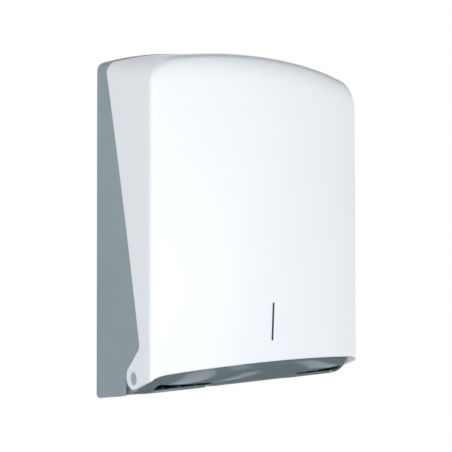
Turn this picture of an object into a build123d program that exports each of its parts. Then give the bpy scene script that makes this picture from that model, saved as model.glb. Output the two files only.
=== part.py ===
from build123d import *
import math
import os

# Wall-hung dispenser for folded paper towels. Millimetres.
# X runs across the front, +Y runs into the wall, Z is up.
# Heights are counted from the lowest edge of the case and depths from the wall.
# The finished pieces are moved so that the origin is the middle of the wall screws.

# Case outline
case_width = 280.0
corner_depth = 110.0            # wall to the front corners of the cover
rear_shoulder = 359.0           # height of the side walls at the wall
front_shoulder = 349.8          # and at the front corners
rear_crown = 385.5              # height of the arched top at the wall
front_crown = 364.4             # and above the front corners
rear_corner = 11.5              # radius between side and top at the wall
front_corner = 34.7             # and at the front corners
bow = 21.8                      # how far the front stands out in its middle
bow_height = 248.0              # height at which it stands out most
bow_curve = 2840.0              # radius of the front from top to bottom
brow_start = 290.0              # above this height the front rolls back
brow_span = 80.0
brow_drop = 6.4                 # roll-back at the end of the span
front_round = 6.0               # rounding of the cover's front edges
front_steps = 6                 # sections that the bowed front is drawn through

# Walls and gaps
cover_wall = 3.0                # wall of the back shell too
tongue_wall = 2.5
tray_wall = 2.8
back_plate = 3.0
side_gap = 0.5                  # cover to the walls that it closes over
seam_gap = 0.6                  # cover edge to the edge of the back shell

# Parting line between cover and back shell, seen from the side
seam_top = 20.5                 # depth of the line across the top
seam_bend = 347.0               # height at which it leaves that depth
seam_kink_depth = 88.7
seam_kink_height = 61.5
seam_kink_round = 9.0
seam_sag = 1.8                  # how far the long edge bows to the front
tongue_reach = 11.0             # rim of the back shell that runs under the cover
rim_band = 7.0                  # thickened band behind the parting line

# Hinge
pivot_depth = 76.8
pivot_height = 29.8
lug_radius = 12.3
lug_back = 1.3                  # centre of the lug behind the pin
lug_lift = 0.8                  # and above it
pin_head = 6.2
pin_head_recess = 0.8
pin_shank = 4.0
pin_fit = 0.05                  # radial running clearance
boss_radius = 9.5
boss_length = 8.0
pin_tail = 2.6                  # pin end past the clip's groove
pin_chamfer = 0.8
clip_groove = 0.8               # depth of the groove
clip_wall = 0.9
clip_play = 0.05
clip_radius = 7.0
clip_mouth = 5.0
washer_radius = 11.0
washer_play = 0.05

# Lower edge of the cover
corner_edge_depth = 109.5
corner_edge_height = 31.0
front_edge_middle = 41.1
front_edge_side = 36.2
front_edge_blend = 122.0        # half width of the arched part of the edge
front_edge_start = 0.55         # slope of the edge where it leaves the corner
front_edge_end = 0.08           # and where it joins the arch

# Floor, mouth and chin of the tray
floor_rise = 0.169              # rise of the floor for each millimetre of depth
mouth_rear = 82.0               # depth of the floor's front edge
mouth_front = 99.0              # depth of the chin's lip
mouth_half = 126.0
tongue_depth = 86.0             # depth of the lip where it reaches back in the middle
tongue_root_half = 60.0
tongue_tip_half = 50.0
tongue_round = 3.0
chin_turn = 62.0                # height at which the chin stands upright
chin_reach = 50.8               # depth over which it curves under
chin_corner_low = 14.0          # rounding of the chin's corners at the floor
chin_corner_top = 6.0           # and at the top
bowl_start = 10.0               # slope in degrees at which floor and chin meet
bowl_steps = 5
chin_top = 60.0
cheek_top = 68.0
cheek_slope_rear = 98.0         # where the cheeks start to fall to the chin
cheek_slope_front = 106.0
lip_radius = 2.0
lip_rise = 6.0                  # top of the mouth's cut above the lip
mouth_corner = 4.0
floor_rib_wall = 1.6
floor_rib_height = 2.0
floor_rib_rear = 17.0
floor_rib_front = 79.0
floor_rib_places = (66.0, 86.0, 106.0)
mouth_bevel = 1.8               # side of the square bar that bevels the floor's front edge
finger_front_half = 56.0
finger_rear_half = 29.0
finger_rear = 50.0
finger_round = 8.0
step_depth = 62.4               # where the tray's cheeks come out of the back shell
step_lean = 0.258               # how far the step leans to the wall for each millimetre down
foot_round = 6.0                # lower rear corner of the back shell
foot_round_behind = 0.5         # the rounding runs this far past the wall's plane

# Wall screws
screw_span_x = 190.0
screw_span_z = 210.0
screw_centre_height = 200.0
wall_hole = 3.0
wall_pad_radius = 9.0
wall_pad_height = 3.0

# Ribs of the back plate
rib_height = 5.0
rib_wall = 2.2
rib_pitch = 52.0
rib_count = 4
rib_bottom = 84.0
rib_top = 330.0

# Tray fixing
tray_boss_radius = 5.0
tray_boss_height = 8.0
tray_boss_x = (38.0, 108.0)
tray_boss_level = 36.0
tray_flange_top = 48.0
tray_screw = 1.7
tray_screw_head = 3.6
tray_screw_head_height = 2.4
tray_screw_length = 8.0
screw_drive = 1.4               # half width of the cross recess
screw_drive_depth = 1.2
screw_play = 0.05
screw_tip_room = 0.1

# Towel guides
guide_side_room = 24.0          # outer face of the case to a guide's inner face
guide_wall = 2.0
guide_bottom = 96.0
guide_top = 300.0
guide_depth_bottom = 66.0
guide_depth_top = 22.0
guide_foot = 14.0
guide_peg = 2.0
guide_peg_length = 5.0
guide_pad = 6.0
guide_peg_levels = (120.0, 275.0)
guide_hole = 9.0
guide_hole_count = 3
guide_round = 10.0

# Lock in the top of the cover
lock_depth = 46.0
lock_radius = 8.0
lock_length = 15.0
lock_flange_radius = 10.5
lock_flange = 1.4
lock_seat = 0.4
lock_seat_play = 0.2
lock_pad_radius = 13.0
lock_pad = 2.2
nut_width = 20.0
nut_height = 3.0
spring_washer = 0.8
plug_radius = 6.0
plug_fit = 0.05
plug_head = 7.2
plug_head_height = 1.2
plug_recess = 0.2               # plug face below the flange
plug_seat = 0.1
key_slot_width = 1.7
key_slot_length = 7.5
key_slot_depth = 6.0
cam_reach = 20.0
cam_hub = 6.5
cam_tip = 4.0
cam_wall = 2.0
cam_clear = 0.2                 # cam below the end of the housing
cam_square = 6.0
cam_screw_head = 3.8
cam_screw_head_height = 1.8
cam_screw_shank = 1.6
cam_screw_length = 6.0

# Keeper of the lock
keeper_inner = 14.0
keeper_width = 12.0
keeper_wall = 1.5
keeper_hook = 10.5
keeper_clear = 2.0              # from the locked cam to the hook
keeper_level = 8.0              # strap below the top of the cover
keeper_screw = 1.5
keeper_screw_head = 2.9
keeper_screw_head_height = 1.6
keeper_screw_length = 4.0
keeper_pad_reach = 12.0         # length of the pad along the top

# Window for the filling level
level_width = 2.2
level_length = 40.0
level_height = 83.0

guide_half = case_width / 2 - guide_side_room
top_slope = (rear_crown - front_crown) / corner_depth
shoulder_slope = (rear_shoulder - front_shoulder) / corner_depth
corner_growth = (front_corner - rear_corner) / corner_depth
below = 40.0                    # how far the forms run past the lowest edge
beyond = 40.0                   # and past the highest and the foremost points
inner_face = cover_wall + side_gap
tongue_inner = inner_face + tongue_wall
seam_floor = cheek_top + 3.0    # the tongue stops above the tray's cheeks

datum = Pos(0, 0, -screw_centre_height)


def bow_at(height):
    """How far the front stands out in its middle at a height."""
    over = max(0.0, height - brow_start)
    brow = brow_drop * (over / brow_span) ** 3
    return bow - (height - bow_height) ** 2 / (2 * bow_curve) - brow


chin_bow = bow_at(chin_turn)
chin_face = corner_depth + chin_bow - inner_face
bowl_rear = chin_face - chin_reach * (1 - math.sin(math.radians(bowl_start)))
chin_fall = (chin_turn - floor_rise * bowl_rear) / math.cos(math.radians(bowl_start))


def floor_at(depth):
    """Height of the underside of the floor at a depth from the wall."""
    return floor_rise * depth


def elevation(depth, inset):
    """Front view of the case at a depth from the wall, drawn in by inset."""
    half = case_width / 2 - inset
    side = rear_shoulder - shoulder_slope * depth - inset
    top = rear_crown - top_slope * depth - inset
    outline = Line((-half, -below), (half, -below))
    outline += Line((half, -below), (half, side))
    outline += ThreePointArc((half, side), (0, top), (-half, side))
    outline += Line((-half, side), (-half, -below))
    face = make_face(outline)
    shoulders = face.vertices().sort_by(Axis.Y)[-2:]
    rounding = rear_corner + corner_growth * depth - inset
    return Plane.XZ.offset(depth) * fillet(shoulders, rounding)


def plan(height, inset):
    """Top view of the case at a height, drawn in by inset."""
    half = case_width / 2 - inset
    front = inset - corner_depth
    outline = Line((-half, beyond), (-half, front))
    outline += ThreePointArc((-half, front), (0, front - bow_at(height)), (half, front))
    outline += Line((half, front), (half, beyond))
    outline += Line((half, beyond), (-half, beyond))
    return Plane.XY.offset(height) * make_face(outline)


def front_form(inset):
    """Solid behind the bowed front, from below the case to above it."""
    high = rear_crown + beyond
    levels = [-below + (high + below) * i / front_steps for i in range(front_steps + 1)]
    return loft([plan(level, inset) for level in levels])


def envelope(inset):
    """The whole case as one solid, drawn in by inset."""
    reach = corner_depth + bow + beyond
    hull = loft([elevation(0, inset), elevation(reach, inset)])
    solid = hull & front_form(inset)
    rim = [e for e in solid.edges() if e.bounding_box().max.Y < inset - corner_depth + 1.5]
    return fillet(rim, front_round - inset) if front_round > inset else solid


def tangent_point(outside, centre, radius, turn):
    """Where the tangent from a point touches a circle; turn is +1 or -1."""
    dx = outside[0] - centre[0]
    dy = outside[1] - centre[1]
    angle = math.atan2(dy, dx) + turn * math.acos(radius / math.hypot(dx, dy))
    return (centre[0] + radius * math.cos(angle), centre[1] + radius * math.sin(angle))


def side_face(outline):
    return Plane.YZ * make_face(outline)


def side_block(face, half=case_width):
    """Extrudes a side view both ways across the case."""
    return extrude(face, amount=half, both=True)


def closed(points):
    outline = Line(points[-1], points[0])
    for start, end in zip(points, points[1:]):
        outline += Line(start, end)
    return outline


def cover_side():
    """Side view of the cover: the long edge, the kink and the hinge lug."""
    lug = (lug_back - pivot_depth, pivot_height + lug_lift)
    kink = (-seam_kink_depth, seam_kink_height)
    corner = (-corner_edge_depth, corner_edge_height)
    high = rear_crown + beyond
    front = -(corner_depth + bow + beyond)
    rear_touch = tangent_point(kink, lug, lug_radius, -1)
    low_touch = tangent_point(corner, lug, lug_radius, 1)
    bend = (-seam_top, seam_bend)
    middle = (-(seam_top + seam_kink_depth) / 2 - seam_sag, (seam_bend + seam_kink_height) / 2)
    low = (lug[0] + lug_radius / 2, lug[1] - lug_radius * math.sqrt(0.75))
    outline = Line((front, high), (-seam_top, high))
    outline += Line((-seam_top, high), bend)
    outline += ThreePointArc(bend, middle, kink)
    outline += Line(kink, rear_touch)
    outline += ThreePointArc(rear_touch, low, low_touch)
    outline += Line(low_touch, corner)
    outline += Line(corner, (front, corner_edge_height))
    outline += Line((front, corner_edge_height), (front, high))
    face = make_face(outline)
    notch = face.vertices().sort_by_distance((kink[0], kink[1], 0))[0]
    return fillet(notch, seam_kink_round)


def front_edge_cutter():
    """Takes the arch out of the lower edge of the cover's front."""
    limit = case_width / 2 + 1
    start = (limit, corner_edge_height - front_edge_start)
    blend = (front_edge_blend, front_edge_side)
    edge = Spline([start, blend], tangents=[(-1, front_edge_start), (-1, front_edge_end)])
    arch = ThreePointArc(blend, (0, front_edge_middle), (-front_edge_blend, front_edge_side))
    low = start[1] - beyond
    outline = edge + arch + mirror(edge, Plane.YZ)
    outline += Line((-limit, start[1]), (-limit, low))
    outline += Line((-limit, low), (limit, low))
    outline += Line((limit, low), start)
    face = Plane.XZ.offset(corner_edge_depth) * make_face(outline)
    ahead = extrude(face, amount=bow + beyond)
    behind = extrude(face, amount=-2 * cover_wall)
    between_sides = Box(case_width - 2 * cover_wall, beyond, 4 * beyond)
    return ahead + (behind & Pos(0, -corner_depth, 0) * between_sides)


def lock_plane():
    """Outer face of the cover's top at the lock; local y runs to the wall."""
    tilt = math.atan(top_slope)
    height = rear_crown - top_slope * lock_depth
    normal = (0, -math.sin(tilt), math.cos(tilt))
    return Plane(origin=(0, -lock_depth, height), x_dir=(1, 0, 0), z_dir=normal)


def rod(radius, low, high):
    """Cylinder along local z between two levels."""
    return Pos(0, 0, (low + high) / 2) * Cylinder(radius, high - low)


def hinge_rod(radius, start, end, side):
    """Cylinder on the hinge axis between two distances from the middle."""
    middle = side * (start + end) / 2
    return Pos(middle, -pivot_depth, pivot_height) * Rot(0, 90, 0) * Cylinder(radius, end - start)


def wall_rod(x, height, radius, near, far):
    """Cylinder square to the wall between two depths."""
    return Pos(x, -(near + far) / 2, height) * Rot(90, 0, 0) * Cylinder(radius, far - near)


def front_cover(outer, inner, profile):
    half = case_width / 2
    shell = (outer - inner) & side_block(Plane.YZ * profile)
    shell -= front_edge_cutter()
    lock = lock_plane()
    shell += lock * rod(lock_pad_radius, -cover_wall - lock_pad, -cover_wall / 2)
    shell -= lock * rod(lock_flange_radius + lock_seat_play, -lock_seat, beyond)
    shell -= lock * rod(lock_radius + plug_fit, -beyond / 2, beyond / 2)
    shell -= hinge_rod(pin_head + pin_fit, -half - 1, half + 1, 1)
    slot = Plane.XZ.offset(corner_depth) * SlotOverall(level_length, level_width, rotation=90)
    shell -= Pos(0, 0, level_height) * extrude(slot, amount=bow + beyond)
    return shell


def back_shell(outer, inner, tongue_outer, tongue_hollow, profile):
    far = corner_depth + bow + beyond
    high = rear_crown + beyond
    cover_zone = side_block(Plane.YZ * offset(profile, amount=seam_gap))
    step_foot = step_depth - step_lean * (pivot_height + beyond)
    ahead_of_step = [(-step_foot, -beyond), (-step_depth, pivot_height),
                     (-pivot_depth, pivot_height), (-pivot_depth, corner_edge_height),
                     (-far, corner_edge_height), (-far, -beyond)]
    hollow = side_block(side_face(closed([(-back_plate, -far), (-back_plate, high),
                                          (-far, high), (-far, -far)])))
    skin = outer - (inner & hollow)
    skin -= cover_zone
    skin -= side_block(side_face(closed(ahead_of_step)))
    skin &= side_block(Plane.YZ * above_foot(far, high))
    above = Pos(0, -far / 2, seam_floor + high / 2) * Box(case_width, far, high)
    rim = (outer - tongue_hollow) & above & hollow
    rim &= Pos(0, rim_band, 0) * side_block(Plane.YZ * profile)
    rim -= cover_zone
    tongue = (tongue_outer - tongue_hollow) & above & hollow
    tongue &= Pos(0, rim_band, 0) * side_block(Plane.YZ * profile)
    tongue -= Pos(0, -tongue_reach, 0) * side_block(Plane.YZ * profile)
    shell = skin + rim + tongue
    for x, height in wall_screws():
        shell += wall_rod(x, height, wall_pad_radius, back_plate / 2, back_plate + wall_pad_height)
        shell -= wall_rod(x, height, wall_hole, -1, back_plate + wall_pad_height + 1)
    for i in range(rib_count):
        x = (i - (rib_count - 1) / 2) * rib_pitch
        middle = (rib_bottom + rib_top) / 2
        rib = Box(rib_wall, rib_height + 1, rib_top - rib_bottom)
        shell += Pos(x, -back_plate - rib_height / 2 + 0.5, middle) * rib
    for x in tray_screw_places():
        depth = back_plate + tray_boss_height
        shell += wall_rod(x, tray_boss_level, tray_boss_radius, back_plate / 2, depth)
        shell -= wall_rod(x, tray_boss_level, tray_screw + screw_play, back_plate, depth + 1)
    for x, height in guide_pegs():
        shell += wall_rod(x, height, guide_pad, back_plate / 2, back_plate + guide_peg_length)
        shell -= wall_rod(x, height, guide_peg + screw_play, back_plate, back_plate + beyond)
    shell += keeper_pad()
    shell -= keeper_screw_rods(keeper_screw + screw_play, keeper_screw_length + screw_tip_room)
    return shell


def above_foot(far, high):
    """Side view of all that lies above the foot of the case, with its rear corner rounded."""
    rear = foot_round_behind
    face = make_face(closed([(rear, floor_at(-rear)), (-far, floor_at(far)), (-far, high), (rear, high)]))
    corner = face.vertices().sort_by_distance((rear, 0, 0))[0]
    return fillet(corner, foot_round)


def wall_screws():
    return [(sx * screw_span_x / 2, screw_centre_height + sz * screw_span_z / 2)
            for sx in (-1, 1) for sz in (-1, 1)]


def tray_screw_places():
    return [side * x for side in (-1, 1) for x in tray_boss_x]


def guide_pegs():
    return [(side * guide_peg_x(), level) for side in (-1, 1) for level in guide_peg_levels]


def guide_peg_x():
    return guide_half + guide_wall + guide_foot / 2 - guide_wall / 2


def bowl_plan(height, depth, bulge, half, corner):
    """Top view of the tray at a height, with its bowed front and round corners."""
    front = -(depth - bulge)
    outline = Line((-half, beyond), (-half, front))
    outline += ThreePointArc((-half, front), (0, -depth), (half, front))
    outline += Line((half, front), (half, beyond))
    outline += Line((half, beyond), (-half, beyond))
    face = make_face(outline)
    corners = face.vertices().sort_by(Axis.Y)[:2]
    return Plane.XY.offset(height) * fillet(corners, corner)


def tray_body(wall):
    """Outer form of the tray, or its hollow when drawn in by the wall."""
    half = case_width / 2 - inner_face - wall
    turns = [math.radians(bowl_start + (90 - bowl_start) * i / bowl_steps)
             for i in range(bowl_steps + 1)]
    levels = [chin_turn - (chin_fall - wall) * math.cos(turn) for turn in turns]
    depths = [chin_face - chin_reach + (chin_reach - wall) * math.sin(turn) for turn in turns]
    bulges = [chin_bow * math.sin(turn) ** 2 for turn in turns]
    growth = (chin_corner_top - chin_corner_low) / bowl_steps
    corners = [chin_corner_low + growth * i - wall for i in range(bowl_steps + 1)]
    bowl = loft([bowl_plan(level, depth, bulge, half, corner)
                 for level, depth, bulge, corner in zip(levels, depths, bulges, corners)])
    rise = bowl_plan(cheek_top + wall, depths[-1], bulges[-1], half, corners[-1])
    upper = extrude(rise, amount=chin_turn - cheek_top - wall)
    slope = Vector(0, 1, -floor_rise)
    floor = extrude(bowl_plan(levels[0], depths[0], bulges[0], half, corners[0]),
                    amount=depths[0] + beyond / 2, dir=slope.normalized())
    rear = back_plate + (tray_boss_height + wall if wall else side_gap)
    wall_side = Pos(0, case_width / 2 - rear, 0) * Box(case_width, case_width, case_width)
    return floor + bowl + upper - wall_side


def chin_at(depth):
    """Height of the chin's outer face in its middle at a depth."""
    reached = (depth - chin_face + chin_reach) / chin_reach
    return chin_turn - chin_fall * math.sqrt(1 - reached ** 2)


def mouth_plan():
    """Top view of the mouth: cut out for the fingers at its rear, with a tongue at its front."""
    right = [(tongue_tip_half, -tongue_depth), (tongue_root_half, -mouth_front),
             (mouth_half, -mouth_front), (mouth_half, -mouth_rear),
             (finger_front_half, -mouth_rear), (finger_rear_half, -finger_rear)]
    left = [(-x, y) for x, y in reversed(right)]
    face = make_face(closed(right + left))
    for radius, places in ((finger_round, [right[5], left[0]]), (tongue_round, [right[0], left[5]]),
                           (mouth_corner, [right[2], right[3], left[2], left[3]])):
        near = [face.vertices().sort_by_distance((x, y, 0))[0] for x, y in places]
        face = fillet(near, radius)
    return face


def lip_bead():
    """Rounded thickening along the lip of the chin."""
    right = [(tongue_tip_half, tongue_depth), (tongue_root_half, mouth_front), (mouth_half, mouth_front)]
    line = [(-x, depth) for x, depth in reversed(right)] + right
    points = [Vector(x, -depth, chin_at(depth) + lip_radius) for x, depth in line]
    bead = Part()
    for start, end in zip(points, points[1:]):
        span = end - start
        bead += Plane(origin=(start + end) / 2, z_dir=span) * Cylinder(lip_radius, span.length)
        bead += Pos(*end) * Sphere(lip_radius)
    return bead


def mouth_tray():
    """Floor, cheeks and chin in one moulding, with the mouth for the towels."""
    half = case_width / 2 - inner_face
    flange_face = back_plate + tray_boss_height
    flange_front = flange_face + tray_wall
    tray = tray_body(0.0) - tray_body(tray_wall)
    pocket = side_face(closed([(0, floor_at(0) + tray_wall),
                               (-flange_face, floor_at(flange_face) + tray_wall),
                               (-flange_face, cheek_top + 1), (0, cheek_top + 1)]))
    tray -= side_block(pocket, half - tray_wall)
    over_flange = Pos(0, 0, tray_flange_top + beyond / 2)
    tray -= over_flange * Box(2 * (half - tray_wall), 2 * (flange_front + 1), beyond)
    front = corner_depth + bow
    over_chin = [(-front, chin_top), (-cheek_slope_front, chin_top),
                 (-cheek_slope_rear, cheek_top), (-cheek_slope_rear, cheek_top + beyond),
                 (-front, cheek_top + beyond)]
    tray -= side_block(side_face(closed(over_chin)))
    top_of_floor = [(-floor_rib_rear, floor_at(floor_rib_rear) + tray_wall / 2),
                    (-floor_rib_front, floor_at(floor_rib_front) + tray_wall / 2)]
    crest = [(y, z + tray_wall / 2 + floor_rib_height) for y, z in reversed(top_of_floor)]
    rib = side_block(side_face(closed(top_of_floor + crest)), floor_rib_wall / 2)
    for side in (-1, 1):
        for place in floor_rib_places:
            tray += Pos(side * place, 0, 0) * rib
        tray += hinge_rod(boss_radius, half - boss_length, half - tray_wall / 2, side)
        tray -= hinge_rod(pin_shank + pin_fit, half - boss_length - 1, half + 1, side)
    tray -= Pos(0, 0, chin_at(mouth_front) + lip_rise) * extrude(mouth_plan(), amount=-beyond)
    bar = Rot(45, 0, 0) * Box(2 * (mouth_half - mouth_corner), mouth_bevel, mouth_bevel)
    tray -= Pos(0, -mouth_rear, chin_at(mouth_rear)) * bar
    tray += lip_bead() & tray_body(0.0)
    for x in tray_screw_places():
        tray -= wall_rod(x, tray_boss_level, tray_screw + screw_play, flange_face - 1, flange_front + 1)
    return tray


def cross_recess(size, depth):
    arm = Box(2 * size, size / 2, depth)
    return arm + Rot(0, 0, 90) * arm


def screw(shank, length, head, head_height):
    """Pan-head screw, shank down along local z from the head's seat."""
    body = rod(shank, -length, 0) + rod(head, 0, head_height)
    rim = body.edges().filter_by(GeomType.CIRCLE).sort_by(Axis.Z)[-1]
    body = chamfer(rim, head_height / 3)
    return body - Pos(0, 0, head_height) * cross_recess(screw_drive, 2 * screw_drive_depth)


def tray_screws():
    seat = back_plate + tray_boss_height + tray_wall
    piece = screw(tray_screw, tray_screw_length, tray_screw_head, tray_screw_head_height)
    return Compound(children=[Pos(x, -seat, tray_boss_level) * Rot(90, 0, 0) * piece
                              for x in tray_screw_places()])


def hinge_pin(side):
    half = case_width / 2
    boss_end = half - inner_face - boss_length
    groove_end = boss_end - clip_play - clip_wall - 2 * clip_play
    tail = groove_end - pin_tail
    pin = hinge_rod(pin_head, half - cover_wall, half - pin_head_recess, side)
    pin += hinge_rod(pin_shank, tail, half - cover_wall, side)
    ends = pin.edges().filter_by(GeomType.CIRCLE).sort_by(Axis.X)
    pin = chamfer([ends[0], ends[-1]], pin_chamfer / 2)
    ring = hinge_rod(pin_shank + 1, groove_end, boss_end, side)
    ring -= hinge_rod(pin_shank - clip_groove, groove_end - 1, boss_end + 1, side)
    return pin - ring


def pin_clip(side):
    """Open retaining ring in the groove of the pin, mouth downwards."""
    boss_end = case_width / 2 - inner_face - boss_length
    near = boss_end - clip_play
    far = near - clip_wall
    bore = pin_shank - clip_groove + clip_play
    clip = hinge_rod(clip_radius, far, near, side) - hinge_rod(bore, far - 1, near + 1, side)
    place = Pos(side * (near + far) / 2, -pivot_depth, pivot_height - clip_radius)
    return clip - place * Box(2 * clip_wall, clip_mouth, 2 * clip_radius - bore)


def hinge_washer(side):
    outer_face = case_width / 2 - cover_wall - washer_play
    inner_side = case_width / 2 - inner_face + washer_play
    washer = hinge_rod(washer_radius, inner_side, outer_face, side)
    return washer - hinge_rod(pin_shank + 2 * pin_fit, inner_side - 1, outer_face + 1, side)


def towel_guide(side):
    """Upright plate that keeps the stack in the middle, with a foot on the back plate."""
    rear = back_plate + guide_peg_length
    outline = [(-rear, guide_bottom), (-rear, guide_top),
               (-guide_depth_top, guide_top), (-guide_depth_bottom, guide_bottom)]
    face = make_face(closed(outline))
    front_corners = face.vertices().sort_by(Axis.X)[:2]
    face = fillet(front_corners, guide_round)
    span = (guide_top - guide_bottom) / (guide_hole_count + 1)
    for i in range(guide_hole_count):
        height = guide_bottom + span * (i + 1)
        share = (height - guide_bottom) / (guide_top - guide_bottom)
        edge = guide_depth_bottom + (guide_depth_top - guide_depth_bottom) * share
        face -= Pos(-(rear + edge) / 2, height) * Circle(guide_hole * (1 - share / 2))
    plate = Pos(guide_half, 0, 0) * extrude(Plane.YZ * face, amount=guide_wall)
    foot_reach = guide_wall + guide_foot
    middle = (guide_bottom + guide_top) / 2
    place = Pos(guide_half + foot_reach / 2, -rear - guide_wall / 2, middle)
    guide = plate + place * Box(foot_reach, guide_wall, guide_top - guide_bottom)
    for level in guide_peg_levels:
        guide += wall_rod(guide_peg_x(), level, guide_peg, rear - guide_peg_length + 0.4, rear + 0.5)
    return guide if side > 0 else mirror(guide, Plane.YZ)


def keeper_levels():
    """Upper face of the strap and the rear face of its hook in the lock's plane."""
    return -keeper_level, -(cam_tip + keeper_clear)


def keeper_pad():
    """Pad under the top of the back shell that the keeper is screwed to."""
    top, _ = keeper_levels()
    rear = lock_depth - seam_top
    middle = rear - tongue_reach + keeper_pad_reach / 2
    height = -top - inner_face - tongue_wall / 2
    block = Box(keeper_width, keeper_pad_reach, height)
    return lock_plane() * Pos(keeper_inner + keeper_width / 2, middle, top + height / 2) * block


def keeper_screw_places():
    middle = lock_depth - seam_top - tongue_reach + keeper_pad_reach / 2
    centre = keeper_inner + keeper_width / 2
    return [(centre + side * keeper_width / 4, middle) for side in (-1, 1)]


def keeper_screw_rods(radius, length):
    top, _ = keeper_levels()
    return [lock_plane() * Pos(x, y, 0) * rod(radius, top, top + length)
            for x, y in keeper_screw_places()]


def keeper():
    """Bent steel strap: flat on its pad, with a hook turned down at the front."""
    top, hook_rear = keeper_levels()
    rear = lock_depth - seam_top - tongue_reach + keeper_pad_reach
    under = top - keeper_wall
    outline = [(rear, top), (hook_rear - keeper_wall, top), (hook_rear - keeper_wall, top - keeper_hook),
               (hook_rear, top - keeper_hook), (hook_rear, under), (rear, under)]
    face = make_face(closed(outline))
    outer_bend = face.vertices().sort_by_distance((hook_rear - keeper_wall, top, 0))[0]
    face = fillet(outer_bend, keeper_wall * 1.2)
    strap = Pos(keeper_inner, 0, 0) * extrude(Plane.YZ * face, amount=keeper_width)
    for x, y in keeper_screw_places():
        strap -= Pos(x, y, 0) * rod(keeper_screw + screw_play, under - 1, top + 1)
    return lock_plane() * strap


def keeper_screws():
    top, _ = keeper_levels()
    piece = screw(keeper_screw, keeper_screw_length, keeper_screw_head, keeper_screw_head_height)
    place = Pos(0, 0, top - keeper_wall) * Rot(180, 0, 0)
    return Compound(children=[lock_plane() * Pos(x, y, 0) * place * piece
                              for x, y in keeper_screw_places()])


def lock_housing():
    top = lock_flange - lock_seat
    housing = rod(lock_flange_radius, -lock_seat, top) + rod(lock_radius, -lock_length, top)
    rim = housing.edges().filter_by(GeomType.CIRCLE).sort_by(Axis.Z)[-1]
    housing = chamfer(rim, lock_flange / 3)
    housing -= rod(plug_radius + plug_fit, -lock_length - 1, top + 1)
    head_depth = plug_recess + plug_head_height + plug_seat
    housing -= rod(plug_head + plug_fit, top - head_depth, top + 1)
    return lock_plane() * housing


def lock_washer():
    top = -cover_wall - lock_pad
    ring = rod(nut_width / 2, top - spring_washer, top)
    return lock_plane() * (ring - rod(lock_radius + plug_fit, top - spring_washer - 1, top + 1))


def lock_nut():
    top = -cover_wall - lock_pad - spring_washer
    hexagon = RegularPolygon(nut_width / 2, 6, major_radius=False)
    nut = Pos(0, 0, top - nut_height) * extrude(hexagon, amount=nut_height)
    return lock_plane() * (nut - rod(lock_radius + plug_fit, top - nut_height - 1, top + 1))


def cam_levels():
    top = -lock_length - cam_clear
    return top, top - cam_wall


def lock_plug():
    face = lock_flange - lock_seat - plug_recess
    _, cam_bottom = cam_levels()
    plug = rod(plug_head, face - plug_head_height, face)
    plug += rod(plug_radius, -lock_length - cam_clear, face)
    tail_top = -lock_length - cam_clear
    tail_length = tail_top - cam_bottom
    tail = Box(cam_square, cam_square, tail_length + 1)
    plug += Pos(0, 0, cam_bottom + (tail_length + 1) / 2) * tail
    slot = Box(key_slot_width, key_slot_length, 2 * key_slot_depth)
    plug -= Pos(0, 0, face) * slot
    plug -= rod(cam_screw_shank + screw_play, cam_bottom - 1, cam_bottom + cam_screw_length + 0.2)
    return lock_plane() * plug


def lock_cam():
    """Flat cam on the square of the plug, pointing to the wall when unlocked."""
    top, bottom = cam_levels()
    plate = make_hull([*Circle(cam_hub).edges(), *(Pos(0, cam_reach - cam_tip) * Circle(cam_tip)).edges()])
    plate -= Rectangle(cam_square + 2 * plug_fit, cam_square + 2 * plug_fit)
    return lock_plane() * Pos(0, 0, bottom) * extrude(plate, amount=top - bottom)


def cam_screw():
    _, bottom = cam_levels()
    piece = screw(cam_screw_shank, cam_screw_length, cam_screw_head, cam_screw_head_height)
    return lock_plane() * Pos(0, 0, bottom) * Rot(180, 0, 0) * piece


def pieces():
    """Every piece of the dispenser by name."""
    outer = envelope(0)
    inner = envelope(cover_wall)
    profile = cover_side()
    tray_side = envelope(inner_face)
    made = {
        "front_cover": front_cover(outer, inner, profile),
        "back_shell": back_shell(outer, inner, tray_side, envelope(tongue_inner), profile),
        "mouth_tray": mouth_tray(),
        "tray_screws": tray_screws(),
        "keeper": keeper(),
        "keeper_screws": keeper_screws(),
        "lock_housing": lock_housing(),
        "lock_washer": lock_washer(),
        "lock_nut": lock_nut(),
        "lock_plug": lock_plug(),
        "lock_cam": lock_cam(),
        "cam_screw": cam_screw(),
    }
    for name, side in (("left", -1), ("right", 1)):
        made["hinge_pin_" + name] = hinge_pin(side)
        made["pin_clip_" + name] = pin_clip(side)
        made["hinge_washer_" + name] = hinge_washer(side)
        made["towel_guide_" + name] = towel_guide(side)
    return made


if __name__ == "__main__":
    os.makedirs("parts", exist_ok=True)
    for name, piece in pieces().items():
        export_step(datum * piece, f"parts/{name}.step")
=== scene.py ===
import bpy
import math
from mathutils import Matrix, Vector


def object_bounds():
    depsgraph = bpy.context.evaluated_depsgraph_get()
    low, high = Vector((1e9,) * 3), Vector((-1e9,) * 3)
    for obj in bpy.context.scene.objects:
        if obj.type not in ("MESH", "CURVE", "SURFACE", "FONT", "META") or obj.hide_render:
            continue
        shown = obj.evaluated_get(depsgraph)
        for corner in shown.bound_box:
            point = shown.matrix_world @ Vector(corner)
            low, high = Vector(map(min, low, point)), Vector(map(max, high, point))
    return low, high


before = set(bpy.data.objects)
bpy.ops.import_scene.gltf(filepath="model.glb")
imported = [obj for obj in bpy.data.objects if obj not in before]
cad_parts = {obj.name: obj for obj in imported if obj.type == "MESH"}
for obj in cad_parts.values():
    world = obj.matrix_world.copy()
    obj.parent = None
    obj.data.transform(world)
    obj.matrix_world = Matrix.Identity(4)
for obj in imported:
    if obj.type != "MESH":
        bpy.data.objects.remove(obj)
cadLow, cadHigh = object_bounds()
caseCentre = (Vector(cadLow) + Vector(cadHigh)) / 2
print("dispenser loaded:", len(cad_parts), "nodes")


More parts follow.
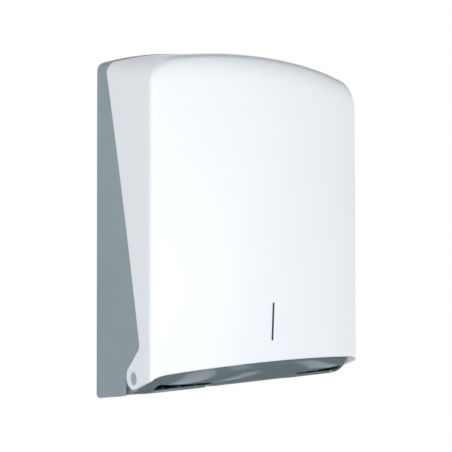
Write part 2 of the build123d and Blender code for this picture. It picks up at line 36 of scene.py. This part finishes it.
def addNode(tree, kind, place=(0, 0), **settings):
    node = tree.nodes.new(kind)
    node.location = place
    for name, value in settings.items():
        setattr(node, name, value)
    return node


def newGroup(name, inputs, outputs):
    group = bpy.data.node_groups.new(name, "ShaderNodeTree")
    for label, kind, value in inputs:
        socket = group.interface.new_socket(name=label, in_out="INPUT", socket_type=kind)
        if value is not None:
            socket.default_value = value
    for label, kind in outputs:
        group.interface.new_socket(name=label, in_out="OUTPUT", socket_type=kind)
    start = addNode(group, "NodeGroupInput", (-900, 0))
    end = addNode(group, "NodeGroupOutput", (900, 0))
    return group, start, end


def feed(tree, socket, value):
    # a link where the value comes from another node, else a plain setting
    if isinstance(value, bpy.types.NodeSocket):
        tree.links.new(value, socket)
    else:
        socket.default_value = value


def pickSocket(sockets, kind, name=None):
    # a mix node keeps sockets of every kind under the same names
    return [s for s in sockets if s.type == kind and name in (None, s.name)][0]


def noise(tree, vector, scale, detail, roughness, place=(0, 0)):
    node = addNode(tree, "ShaderNodeTexNoise", place)
    tree.links.new(vector, node.inputs["Vector"])
    feed(tree, node.inputs["Scale"], scale)
    node.inputs["Detail"].default_value = detail
    node.inputs["Roughness"].default_value = roughness
    return node.outputs["Fac"]


def remap(tree, value, fromLow, fromHigh, toLow, toHigh, place=(0, 0)):
    node = addNode(tree, "ShaderNodeMapRange", place, clamp=True)
    tree.links.new(value, node.inputs["Value"])
    for label, number in (("From Min", fromLow), ("From Max", fromHigh),
                          ("To Min", toLow), ("To Max", toHigh)):
        node.inputs[label].default_value = number
    return node.outputs["Result"]


def combine(tree, kind, first, second, place=(0, 0)):
    node = addNode(tree, "ShaderNodeMath", place, operation=kind)
    feed(tree, node.inputs[0], first)
    feed(tree, node.inputs[1], second)
    return node.outputs[0]


def buildMouldGrain():
    # spark-eroded mould skin: a fine pitted grain over a slow orange peel
    group, start, end = newGroup("mouldGrain", [
        ("Vector", "NodeSocketVector", None),
        ("Grain Scale", "NodeSocketFloat", 1600.0),
        ("Grain", "NodeSocketFloat", 0.5),
        ("Peel Scale", "NodeSocketFloat", 220.0),
        ("Peel", "NodeSocketFloat", 0.5)],
        [("Height", "NodeSocketFloat"), ("Pits", "NodeSocketFloat")])
    vector = start.outputs["Vector"]
    grain = noise(group, vector, start.outputs["Grain Scale"], 3, 0.6, (-600, 200))
    pits = remap(group, grain, 0.36, 0.62, 0.0, 1.0, (-380, 200))
    peel = noise(group, vector, start.outputs["Peel Scale"], 1, 0.4, (-600, -200))
    grainPart = combine(group, "MULTIPLY", pits, start.outputs["Grain"], (-100, 200))
    peelPart = combine(group, "MULTIPLY", peel, start.outputs["Peel"], (-100, -200))
    height = combine(group, "ADD", grainPart, peelPart, (200, 0))
    group.links.new(height, end.inputs["Height"])
    group.links.new(pits, end.inputs["Pits"])
    return group


def buildWipeMarks():
    # cloth wipes and fingerprints: long soft streaks with a cloudy film between them
    group, start, end = newGroup("wipeMarks", [
        ("Vector", "NodeSocketVector", None),
        ("Streak Scale", "NodeSocketFloat", 26.0),
        ("Cloud Scale", "NodeSocketFloat", 9.0)],
        [("Film", "NodeSocketFloat"), ("Streaks", "NodeSocketFloat")])
    squeeze = addNode(group, "ShaderNodeMapping", (-700, 200))
    squeeze.inputs["Scale"].default_value = (0.35, 0.35, 2.6)
    squeeze.inputs["Rotation"].default_value = (0.0, 0.5, 0.3)
    group.links.new(start.outputs["Vector"], squeeze.inputs["Vector"])
    streak = noise(group, squeeze.outputs[0], start.outputs["Streak Scale"], 6, 0.62, (-480, 200))
    streaks = remap(group, streak, 0.5, 0.72, 0.0, 1.0, (-240, 200))
    cloud = noise(group, start.outputs["Vector"], start.outputs["Cloud Scale"], 4, 0.55,
                  (-480, -200))
    film = remap(group, cloud, 0.35, 0.7, 0.0, 1.0, (-240, -200))
    group.links.new(film, end.inputs["Film"])
    group.links.new(streaks, end.inputs["Streaks"])
    return group


def pieceNormal(tree, place):
    # the surface's normal in the piece's own axes, so a pattern stays put when the piece swings
    shape = addNode(tree, "ShaderNodeNewGeometry", place)
    turn = addNode(tree, "ShaderNodeVectorTransform", (place[0] + 200, place[1]),
                   vector_type="NORMAL", convert_from="WORLD", convert_to="OBJECT")
    split = addNode(tree, "ShaderNodeSeparateXYZ", (place[0] + 400, place[1]))
    tree.links.new(shape.outputs["Normal"], turn.inputs[0])
    tree.links.new(turn.outputs[0], split.inputs[0])
    return split


def buildDustSpecks():
    # dust that settles on faces that look up, and a few specks elsewhere
    group, start, end = newGroup("dustSpecks", [
        ("Vector", "NodeSocketVector", None),
        ("Speck Scale", "NodeSocketFloat", 420.0),
        ("Settled", "NodeSocketFloat", 0.6)],
        [("Dust", "NodeSocketFloat"), ("Specks", "NodeSocketFloat")])
    cells = addNode(group, "ShaderNodeTexVoronoi", (-600, 250))
    group.links.new(start.outputs["Vector"], cells.inputs["Vector"])
    group.links.new(start.outputs["Speck Scale"], cells.inputs["Scale"])
    dots = remap(group, cells.outputs["Distance"], 0.02, 0.13, 1.0, 0.0, (-380, 250))
    rare = noise(group, start.outputs["Vector"], 95.0, 2, 0.5, (-600, -20))
    rareMask = remap(group, rare, 0.56, 0.64, 0.0, 1.0, (-380, -20))
    specks = combine(group, "MULTIPLY", dots, rareMask, (-150, 150))
    facing = pieceNormal(group, (-1050, -300))
    lookingUp = remap(group, facing.outputs["Z"], 0.45, 0.98, 0.0, 1.0, (-420, -300))
    patch = noise(group, start.outputs["Vector"], 38.0, 5, 0.6, (-420, -520))
    patchy = remap(group, patch, 0.3, 0.7, 0.35, 1.0, (-220, -520))
    settled = combine(group, "MULTIPLY", lookingUp, patchy, (0, -350))
    dust = combine(group, "MULTIPLY", settled, start.outputs["Settled"], (220, -250))
    group.links.new(dust, end.inputs["Dust"])
    group.links.new(specks, end.inputs["Specks"])
    return group


def buildRubbedEdges():
    # corners that hands and cleaning have polished: where the bevelled normal leaves the true one
    group, start, end = newGroup("rubbedEdges", [
        ("Vector", "NodeSocketVector", None),
        ("Width", "NodeSocketFloat", 0.0012),
        ("Soft Width", "NodeSocketFloat", 0.001),
        ("Break Scale", "NodeSocketFloat", 120.0)],
        [("Rubbed", "NodeSocketFloat"), ("Soft Normal", "NodeSocketVector")])
    bevel = addNode(group, "ShaderNodeBevel", (-650, 150), samples=4)
    group.links.new(start.outputs["Width"], bevel.inputs["Radius"])
    shape = addNode(group, "ShaderNodeNewGeometry", (-650, -100))
    dot = addNode(group, "ShaderNodeVectorMath", (-420, 50), operation="DOT_PRODUCT")
    group.links.new(bevel.outputs[0], dot.inputs[0])
    group.links.new(shape.outputs["Normal"], dot.inputs[1])
    edge = remap(group, dot.outputs["Value"], 0.995, 0.9, 0.0, 1.0, (-200, 50))
    gaps = noise(group, start.outputs["Vector"], start.outputs["Break Scale"], 4, 0.6,
                 (-420, -250))
    broken = remap(group, gaps, 0.38, 0.6, 0.25, 1.0, (-200, -250))
    rubbed = combine(group, "MULTIPLY", edge, broken, (150, 0))
    group.links.new(rubbed, end.inputs["Rubbed"])
    soft = addNode(group, "ShaderNodeBevel", (-650, 350), samples=6)
    group.links.new(start.outputs["Soft Width"], soft.inputs["Radius"])
    group.links.new(soft.outputs[0], end.inputs["Soft Normal"])
    return group


mouldGrain = buildMouldGrain()
wipeMarks = buildWipeMarks()
dustSpecks = buildDustSpecks()
rubbedEdges = buildRubbedEdges()


def startMaterial(name):
    material = bpy.data.materials.new(name)
    material.use_nodes = True
    tree = material.node_tree
    tree.nodes.clear()
    output = addNode(tree, "ShaderNodeOutputMaterial", (1500, 0))
    skin = addNode(tree, "ShaderNodeBsdfPrincipled", (1200, 0))
    tree.links.new(skin.outputs[0], output.inputs["Surface"])
    place = addNode(tree, "ShaderNodeTexCoord", (-1400, 0)).outputs["Object"]
    return material, tree, skin, place


def useGroup(tree, group, vector, place, **values):
    node = addNode(tree, "ShaderNodeGroup", place, node_tree=group)
    tree.links.new(vector, node.inputs["Vector"])
    for label, value in values.items():
        node.inputs[label.replace("_", " ")].default_value = value
    return node


def tint(tree, factor, base, over, place=(0, 0)):
    node = addNode(tree, "ShaderNodeMix", place, data_type="RGBA")
    tree.links.new(factor, node.inputs["Factor"])
    for label, colour in (("A", base), ("B", over)):
        linked = isinstance(colour, bpy.types.NodeSocket)
        feed(tree, pickSocket(node.inputs, "RGBA", label), colour if linked else (*colour, 1))
    return pickSocket(node.outputs, "RGBA")


def mixNormals(tree, factor, first, second, place):
    node = addNode(tree, "ShaderNodeMix", place, data_type="VECTOR")
    tree.links.new(factor, node.inputs[0])
    for label, normal in (("A", first), ("B", second)):
        tree.links.new(normal, pickSocket(node.inputs, "VECTOR", label))
    return pickSocket(node.outputs, "VECTOR")


def bumpFrom(tree, skin, height, normal, strength, distance, place=(900, -400)):
    bump = addNode(tree, "ShaderNodeBump", place)
    bump.inputs["Strength"].default_value = strength
    bump.inputs["Distance"].default_value = distance
    tree.links.new(height, bump.inputs["Height"])
    tree.links.new(normal, bump.inputs["Normal"])
    tree.links.new(bump.outputs[0], skin.inputs["Normal"])
    return bump


def paintedSlotShade(tree, place, slot):
    # 1 on the walls of the upright level slot, which get a painted shade
    split = addNode(tree, "ShaderNodeSeparateXYZ", (-1200, 900))
    tree.links.new(place, split.inputs[0])
    across = combine(tree, "ABSOLUTE", split.outputs["X"], 0, (-1000, 1000))
    up = combine(tree, "SUBTRACT", split.outputs["Z"], slot["middle"], (-1000, 850))
    along = combine(tree, "ABSOLUTE", up, 0, (-800, 850))
    narrow = combine(tree, "LESS_THAN", across, slot["halfWidth"], (-600, 1000))
    short = combine(tree, "LESS_THAN", along, slot["halfLength"], (-600, 850))
    return combine(tree, "MULTIPLY", narrow, short, (-400, 900))


def browRoll(tree, place, brow):
    # the moulding rolls back towards its arched top: slope grows over the last stretch
    split = addNode(tree, "ShaderNodeSeparateXYZ", (-1400, -800))
    tree.links.new(place, split.inputs[0])
    square = combine(tree, "MULTIPLY", split.outputs["X"], split.outputs["X"], (-1200, -700))
    sag = combine(tree, "MULTIPLY", square, brow["arch"], (-1000, -700))
    edge = combine(tree, "SUBTRACT", brow["top"], sag, (-800, -700))
    below = combine(tree, "SUBTRACT", edge, split.outputs["Z"], (-600, -750))
    near = remap(tree, below, 0.0, brow["span"], 1.0, 0.0, (-400, -750))
    cube = combine(tree, "POWER", near, 3.0, (-200, -750))
    return combine(tree, "MULTIPLY", cube, -brow["slope"] * brow["span"] / 3, (0, -750))


def mouldedPlastic(name, look):
    # a moulded skin: base colour with a slow drift, wiped film, specks, dust and rubbed edges, and
    # painted shade on the level slot walls where the look has a slot
    material, tree, skin, place = startMaterial(name)
    grain = useGroup(tree, mouldGrain, place, (-900, 300), Grain_Scale=look["grainScale"],
                     Grain=look["grain"], Peel_Scale=look["peelScale"], Peel=look["peel"])
    wipes = useGroup(tree, wipeMarks, place, (-900, 50), Streak_Scale=look["streakScale"])
    dust = useGroup(tree, dustSpecks, place, (-900, -200), Settled=look["settled"])
    edges = useGroup(tree, rubbedEdges, place, (-900, -450), Width=look["edgeWidth"],
                     Soft_Width=look["softWidth"])
    drift = noise(tree, place, look["driftScale"], 3, 0.5, (-900, 560))
    driftMask = remap(tree, drift, 0.3, 0.7, 0.0, 1.0, (-650, 560))
    colour = tint(tree, driftMask, look["colour"], look["drift"], (-400, 500))
    pitDepth = combine(tree, "MULTIPLY", grain.outputs["Pits"], look["pitShade"], (-400, 300))
    colour = tint(tree, pitDepth, colour, look["pitColour"], (-150, 450))
    rub = combine(tree, "MULTIPLY", edges.outputs["Rubbed"], look["rubbed"], (-400, -400))
    colour = tint(tree, rub, colour, look["rubColour"], (100, 400))
    speck = combine(tree, "MULTIPLY", dust.outputs["Specks"], look["specks"], (-400, -150))
    colour = tint(tree, speck, colour, look["speckColour"], (350, 350))
    colour = tint(tree, dust.outputs["Dust"], colour, look["dustColour"], (600, 300))
    # painted shade: the level slot's walls are darkened to the slot colour
    if look.get("slot"):
        colour = tint(tree, paintedSlotShade(tree, place, look["slot"]), colour,
                      look["slot"]["colour"], (750, 300))
    tree.links.new(colour, skin.inputs["Base Color"])

    rough = remap(tree, wipes.outputs["Film"], 0.0, 1.0, *look["roughness"], (-400, 50))
    streakPart = combine(tree, "MULTIPLY", wipes.outputs["Streaks"], look["streaks"], (-400, -20))
    rough = combine(tree, "ADD", rough, streakPart, (-150, 50))
    pitPart = combine(tree, "MULTIPLY", grain.outputs["Pits"], look["pitRough"], (-150, -80))
    rough = combine(tree, "ADD", rough, pitPart, (100, 50))
    dustPart = combine(tree, "MULTIPLY", dust.outputs["Dust"], look["dustRough"], (100, -80))
    rough = combine(tree, "ADD", rough, dustPart, (350, 50))
    polish = combine(tree, "MULTIPLY", rub, look["polish"], (350, -80))
    rough = combine(tree, "SUBTRACT", rough, polish, (600, 50))
    tree.links.new(rough, skin.inputs["Roughness"])
    skin.inputs["IOR"].default_value = look["ior"]
    if look.get("coat"):
        skin.inputs["Coat Weight"].default_value = look["coat"]
        skin.inputs["Coat Roughness"].default_value = look["coatRoughness"]
    normal = edges.outputs["Soft Normal"]
    if look.get("brow"):
        roll = bumpFrom(tree, skin, browRoll(tree, place, look["brow"]), normal, 1.0, 1.0,
                        (400, -600))
        facing = pieceNormal(tree, (-300, -1000))
        ahead = remap(tree, facing.outputs["Y"], *look["brow"]["facing"], 0.0, 1.0, (300, -1000))
        normal = mixNormals(tree, ahead, normal, roll.outputs[0], (650, -600))
    bumpFrom(tree, skin, grain.outputs["Height"], normal, look["bump"], look["bumpDepth"])
    return material


# all colours are linear
coverLook = {
    # the slot colour is a painted shade on the walls of the level slot
    "slot": {"middle": -0.117, "halfLength": 0.0199, "halfWidth": 0.0012,
             "colour": (0.12, 0.137, 0.148)},
    "brow": {"top": 0.163, "arch": 0.78, "span": 0.034, "slope": 0.85,
             "facing": (-0.4, -0.85)},      # the roll fades in as the surface turns to the front
    "colour": (0.868, 0.889, 0.91), "drift": (0.853, 0.876, 0.898), "driftScale": 7.0,
    "grainScale": 1900.0, "grain": 0.18, "peelScale": 150.0, "peel": 0.8,
    "pitShade": 0.02, "pitColour": (0.72, 0.75, 0.78), "pitRough": 0.02,
    "streakScale": 24.0, "streaks": 0.02, "roughness": (0.3, 0.33),
    "specks": 0.12, "speckColour": (0.66, 0.66, 0.65),
    "settled": 0.12, "dustColour": (0.74, 0.73, 0.7), "dustRough": 0.3,
    "edgeWidth": 0.0012, "softWidth": 0.0022, "rubbed": 0.2, "rubColour": (0.8, 0.82, 0.84),
    "polish": 0.05, "ior": 1.46, "coat": 0.12, "coatRoughness": 0.12,
    "bump": 0.05, "bumpDepth": 0.0003,
}
shellLook = {
    "colour": (0.292, 0.362, 0.385), "drift": (0.278, 0.348, 0.37), "driftScale": 7.0,
    "grainScale": 1500.0, "grain": 0.9, "peelScale": 260.0, "peel": 0.25,
    "pitShade": 0.16, "pitColour": (0.22, 0.28, 0.3), "pitRough": 0.08,
    "streakScale": 30.0, "streaks": 0.05, "roughness": (0.5, 0.58),
    "specks": 0.4, "speckColour": (0.5, 0.51, 0.5),
    "settled": 0.22, "dustColour": (0.5, 0.51, 0.5), "dustRough": 0.3,
    "edgeWidth": 0.001, "softWidth": 0.001, "rubbed": 0.55, "rubColour": (0.42, 0.5, 0.52),
    "polish": 0.12, "ior": 1.48, "bump": 0.3, "bumpDepth": 0.0003,
}
trayLook = {
    "colour": (0.115, 0.155, 0.169), "drift": (0.108, 0.146, 0.159), "driftScale": 7.0,
    "grainScale": 1700.0, "grain": 0.15, "peelScale": 120.0, "peel": 0.8,
    "pitShade": 0.05, "pitColour": (0.1, 0.135, 0.148), "pitRough": 0.02,
    "streakScale": 34.0, "streaks": 0.04, "roughness": (0.08, 0.12),
    "specks": 0.3, "speckColour": (0.42, 0.42, 0.41),
    "settled": 0.2, "dustColour": (0.4, 0.41, 0.4), "dustRough": 0.3,
    "edgeWidth": 0.0008, "softWidth": 0.0011, "rubbed": 0.5, "rubColour": (0.3, 0.37, 0.39),
    "polish": 0.03, "ior": 1.52, "coat": 0.6, "coatRoughness": 0.03,
    "bump": 0.06, "bumpDepth": 0.0003,
}
pinLook = dict(shellLook, colour=(0.36, 0.435, 0.46), drift=(0.35, 0.42, 0.445),
               grain=0.4, roughness=(0.34, 0.42), bump=0.2)
nylonLook = dict(shellLook, colour=(0.78, 0.76, 0.7), drift=(0.74, 0.72, 0.66),
                 pitColour=(0.68, 0.66, 0.6), rubColour=(0.86, 0.85, 0.8), roughness=(0.4, 0.48))


def platedMetal(name, look):
    # zinc or chrome: brushed grain along one way, cloudy plating, worn edges
    material, tree, skin, place = startMaterial(name)
    stretch = addNode(tree, "ShaderNodeMapping", (-1150, 200))
    stretch.inputs["Scale"].default_value = look["stretch"]
    tree.links.new(place, stretch.inputs["Vector"])
    brushed = noise(tree, stretch.outputs[0], look["brushScale"], 5, 0.7, (-900, 200))
    cloud = noise(tree, place, look["cloudScale"], 4, 0.6, (-900, -50))
    clouds = remap(tree, cloud, 0.35, 0.65, 0.0, 1.0, (-650, -50))
    edges = useGroup(tree, rubbedEdges, place, (-900, -300), Width=look["edgeWidth"],
                     Soft_Width=look["softWidth"])
    colour = tint(tree, clouds, look["colour"], look["cloudColour"], (-350, 200))
    rub = combine(tree, "MULTIPLY", edges.outputs["Rubbed"], look["rubbed"], (-600, -300))
    colour = tint(tree, rub, colour, look["rubColour"], (-100, 200))
    tree.links.new(colour, skin.inputs["Base Color"])
    rough = remap(tree, brushed, 0.3, 0.7, *look["roughness"], (-350, -50))
    tree.links.new(rough, skin.inputs["Roughness"])
    skin.inputs["Metallic"].default_value = 1.0
    bumpFrom(tree, skin, brushed, edges.outputs["Soft Normal"], look["bump"], look["bumpDepth"])
    return material


zincLook = {
    "colour": (0.6, 0.61, 0.62), "cloudColour": (0.5, 0.51, 0.53), "rubColour": (0.75, 0.75, 0.74),
    "stretch": (1.0, 8.0, 1.0), "brushScale": 380.0, "cloudScale": 260.0,
    "edgeWidth": 0.0004, "softWidth": 0.0002, "rubbed": 0.6,
    "roughness": (0.24, 0.42), "bump": 0.15, "bumpDepth": 0.0001,
}
chromeLook = {
    "colour": (0.68, 0.69, 0.7), "cloudColour": (0.62, 0.63, 0.65), "rubColour": (0.8, 0.8, 0.8),
    "stretch": (1.0, 1.0, 3.0), "brushScale": 700.0, "cloudScale": 160.0,
    "edgeWidth": 0.0004, "softWidth": 0.0002, "rubbed": 0.6,
    "roughness": (0.08, 0.16), "bump": 0.05, "bumpDepth": 0.0001,
}


def dressNodes():
    finishes = {
        mouldedPlastic("whiteGlossAbs", coverLook): ["front_cover"],
        mouldedPlastic("greyGrainedAbs", shellLook): ["back_shell", "towel_guide_left",
                                                      "towel_guide_right"],
        mouldedPlastic("greyGlossAbs", trayLook): ["mouth_tray"],
        mouldedPlastic("greyPinAcetal", pinLook): ["hinge_pin_left", "hinge_pin_right"],
        mouldedPlastic("naturalNylon", nylonLook): ["hinge_washer_left", "hinge_washer_right"],
        platedMetal("zincPlate", zincLook): ["tray_screws", "pin_clip_left", "pin_clip_right",
                                             "keeper", "keeper_screws", "lock_washer",
                                             "lock_nut", "lock_cam", "cam_screw"],
        platedMetal("chromePlate", chromeLook): ["lock_housing", "lock_plug"],
    }
    for finish, names in finishes.items():
        for name in names:
            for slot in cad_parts[name].material_slots:
                slot.material = finish
    print("materials laid on", sum(len(n) for n in finishes.values()), "nodes")


dressNodes()


cameraView = {
    "place": (-0.592235, -0.8432, -0.041548),
    "turn": 0.637846,           # to the right of straight at the wall, radians
    "rise": 0.0270188,
    "roll": -0.00207641,
    "focal": 880.966,           # in pixels of a frame 452 wide
    "frameWidth": 452,
    "sensorWidth": 36.0,        # millimetres
    "nearest": 0.01, "farthest": 60.0,
}


def placeCamera(view):
    data = bpy.data.cameras.new("mainCamera")
    camera = bpy.data.objects.new("mainCamera", data)
    bpy.context.scene.collection.objects.link(camera)
    data.sensor_width = view["sensorWidth"]
    data.lens = view["focal"] * data.sensor_width / view["frameWidth"]
    data.clip_start = view["nearest"]
    data.clip_end = view["farthest"]
    turned = Matrix.Rotation(-view["turn"], 4, "Z")
    raised = Matrix.Rotation(math.pi / 2 + view["rise"], 4, "X")
    rolled = Matrix.Rotation(view["roll"], 4, "Z")
    camera.matrix_world = Matrix.Translation(view["place"]) @ turned @ raised @ rolled
    bpy.context.scene.camera = camera


placeCamera(cameraView)


studio = {
    "floorDrop": 0.75, "floorHalf": 9.0,
    "floorColour": (0.62, 0.63, 0.64), "floorShade": 0.97, "floorRoughness": 0.6,
    "whiteFrom": 1.6, "whiteTo": 2.6,       # metres from the middle at which the floor turns white
    "nearGlow": 0.55,                       # and how far it is lifted towards white near the middle
    "topLight": (0.15, 0.165, 0.185), "sideLight": (1.77, 1.81, 1.86),
    "lowLight": (0.6, 0.62, 0.64),
    "lightLow": 0.5, "lightHigh": 0.7,      # between these heights the sky falls off, 0.5 is level
    "lamps": {
        "slantPanel": {"place": (-1.7, -1.75, -0.3), "size": (1.9, 1.5), "power": 26.8},
        "frontPanel": {"place": (0.1, -2.2, -0.45), "size": (1.6, 1.2), "power": 11.5},
    },
    # small panels on the floor that the glossy chin mirrors, each aimed straight up
    "footPanels": {
        "leftFootPanel": {"place": (0.35, -0.24, -0.93), "size": (0.11, 0.62), "power": 0.34},
        "middleFootPanel": {"place": (0.52, -0.42, -0.93), "size": (0.1, 0.28), "power": 0.07},
        "innerFootPanel": {"place": (0.56, 0.12, -0.93), "size": (0.07, 0.4), "power": 0.08},
        "rightFootPanel": {"place": (0.89, -0.12, -0.93), "size": (0.14, 0.42), "power": 0.19},
    },
    "footColour": (0.86, 0.96, 1.0),
}


def seenDirectly(tree, place):
    # 1 for the rays that look straight at a thing, in a mirror or through glass
    ray = addNode(tree, "ShaderNodeLightPath", place)
    bounced = combine(tree, "MAXIMUM", ray.outputs["Is Glossy Ray"],
                      ray.outputs["Is Transmission Ray"], (place[0] + 250, place[1]))
    return combine(tree, "MAXIMUM", ray.outputs["Is Camera Ray"], bounced,
                   (place[0] + 500, place[1]))


def layFloor():
    bpy.ops.object.select_all(action="DESELECT")
    level = cadLow[2] - studio["floorDrop"]
    bpy.ops.mesh.primitive_plane_add(size=2 * studio["floorHalf"], location=(0, 0, level))
    floor = bpy.context.object
    floor.name = "paleFloor"
    material, tree, skin, place = startMaterial("palePaintedFloor")
    cloud = noise(tree, place, 2.0, 4, 0.5, (-900, 0))
    shaded = [c * studio["floorShade"] for c in studio["floorColour"]]
    shade = tint(tree, cloud, studio["floorColour"], shaded)
    tree.links.new(shade, skin.inputs["Base Color"])
    skin.inputs["Roughness"].default_value = studio["floorRoughness"]
    floor.data.materials.append(material)
    # far from the dispenser the camera sees the floor as white as the backdrop
    away = addNode(tree, "ShaderNodeVectorMath", (-900, 500), operation="LENGTH")
    tree.links.new(place, away.inputs[0])
    far = remap(tree, away.outputs["Value"], studio["whiteFrom"], studio["whiteTo"], 0.0, 1.0,
                (-600, 500))
    bare = combine(tree, "MULTIPLY", seenDirectly(tree, (-900, 800)), far, (0, 600))
    ray = addNode(tree, "ShaderNodeLightPath", (-300, 900))
    near = combine(tree, "MULTIPLY", ray.outputs["Is Camera Ray"], studio["nearGlow"], (0, 900))
    bare = combine(tree, "MAXIMUM", bare, near, (250, 700))
    glow = addNode(tree, "ShaderNodeEmission", (1200, 300))
    glow.inputs["Color"].default_value = (1, 1, 1, 1)
    mix = addNode(tree, "ShaderNodeMixShader", (1400, 200))
    output = [n for n in tree.nodes if n.type == "OUTPUT_MATERIAL"][0]
    tree.links.new(bare, mix.inputs[0])
    tree.links.new(skin.outputs[0], mix.inputs[1])
    tree.links.new(glow.outputs[0], mix.inputs[2])
    tree.links.new(mix.outputs[0], output.inputs["Surface"])


def hangLamp(name, look, aimAt, colour):
    data = bpy.data.lights.new(name, "AREA")
    data.shape = "RECTANGLE"
    data.size, data.size_y = look["size"]
    data.energy = look["power"]
    data.color = colour
    lamp = bpy.data.objects.new(name, data)
    lamp.visible_camera = False
    bpy.context.scene.collection.objects.link(lamp)
    place = Vector(look["place"])
    aim = Vector(aimAt) - place
    turned = aim.to_track_quat("-Z", "Y").to_matrix().to_4x4()
    lamp.matrix_world = Matrix.Translation(place) @ turned


def paintWorld():
    world = bpy.data.worlds.new("paleStudio")
    bpy.context.scene.world = world
    world.use_nodes = True
    tree = world.node_tree
    tree.nodes.clear()
    output = addNode(tree, "ShaderNodeOutputWorld", (900, 0))
    where = addNode(tree, "ShaderNodeTexCoord", (-900, 0)).outputs["Generated"]
    split = addNode(tree, "ShaderNodeSeparateXYZ", (-700, 0))
    tree.links.new(where, split.inputs[0])
    ramp = addNode(tree, "ShaderNodeValToRGB", (-450, 0))
    height = remap(tree, split.outputs["Z"], -1.0, 1.0, 0.0, 1.0, (-600, 0))
    tree.links.new(height, ramp.inputs[0])
    stops = ((0.0, studio["lowLight"]), (studio["lightLow"], studio["sideLight"]),
             (studio["lightHigh"], studio["topLight"]))
    while len(ramp.color_ramp.elements) < len(stops):
        ramp.color_ramp.elements.new(0.5)
    for element, (position, colour) in zip(ramp.color_ramp.elements, stops):
        element.position = position
        element.color = (*colour, 1)
    soft = addNode(tree, "ShaderNodeBackground", (0, -100))
    tree.links.new(ramp.outputs[0], soft.inputs["Color"])
    white = addNode(tree, "ShaderNodeBackground", (0, 150))
    white.inputs["Color"].default_value = (1, 1, 1, 1)
    mix = addNode(tree, "ShaderNodeMixShader", (500, 0))
    tree.links.new(seenDirectly(tree, (-500, 400)), mix.inputs[0])
    tree.links.new(soft.outputs[0], mix.inputs[1])
    tree.links.new(white.outputs[0], mix.inputs[2])
    tree.links.new(mix.outputs[0], output.inputs["Surface"])


layFloor()
for lampName, lamp in studio["lamps"].items():
    hangLamp(lampName, lamp, caseCentre, (1, 1, 1))
for panelName, panel in studio["footPanels"].items():
    hangLamp(panelName, panel, Vector(panel["place"]) + Vector((0, 0, 1)), studio["footColour"])
paintWorld()
bpy.context.scene.view_settings.view_transform = "Standard"
print("studio ready")
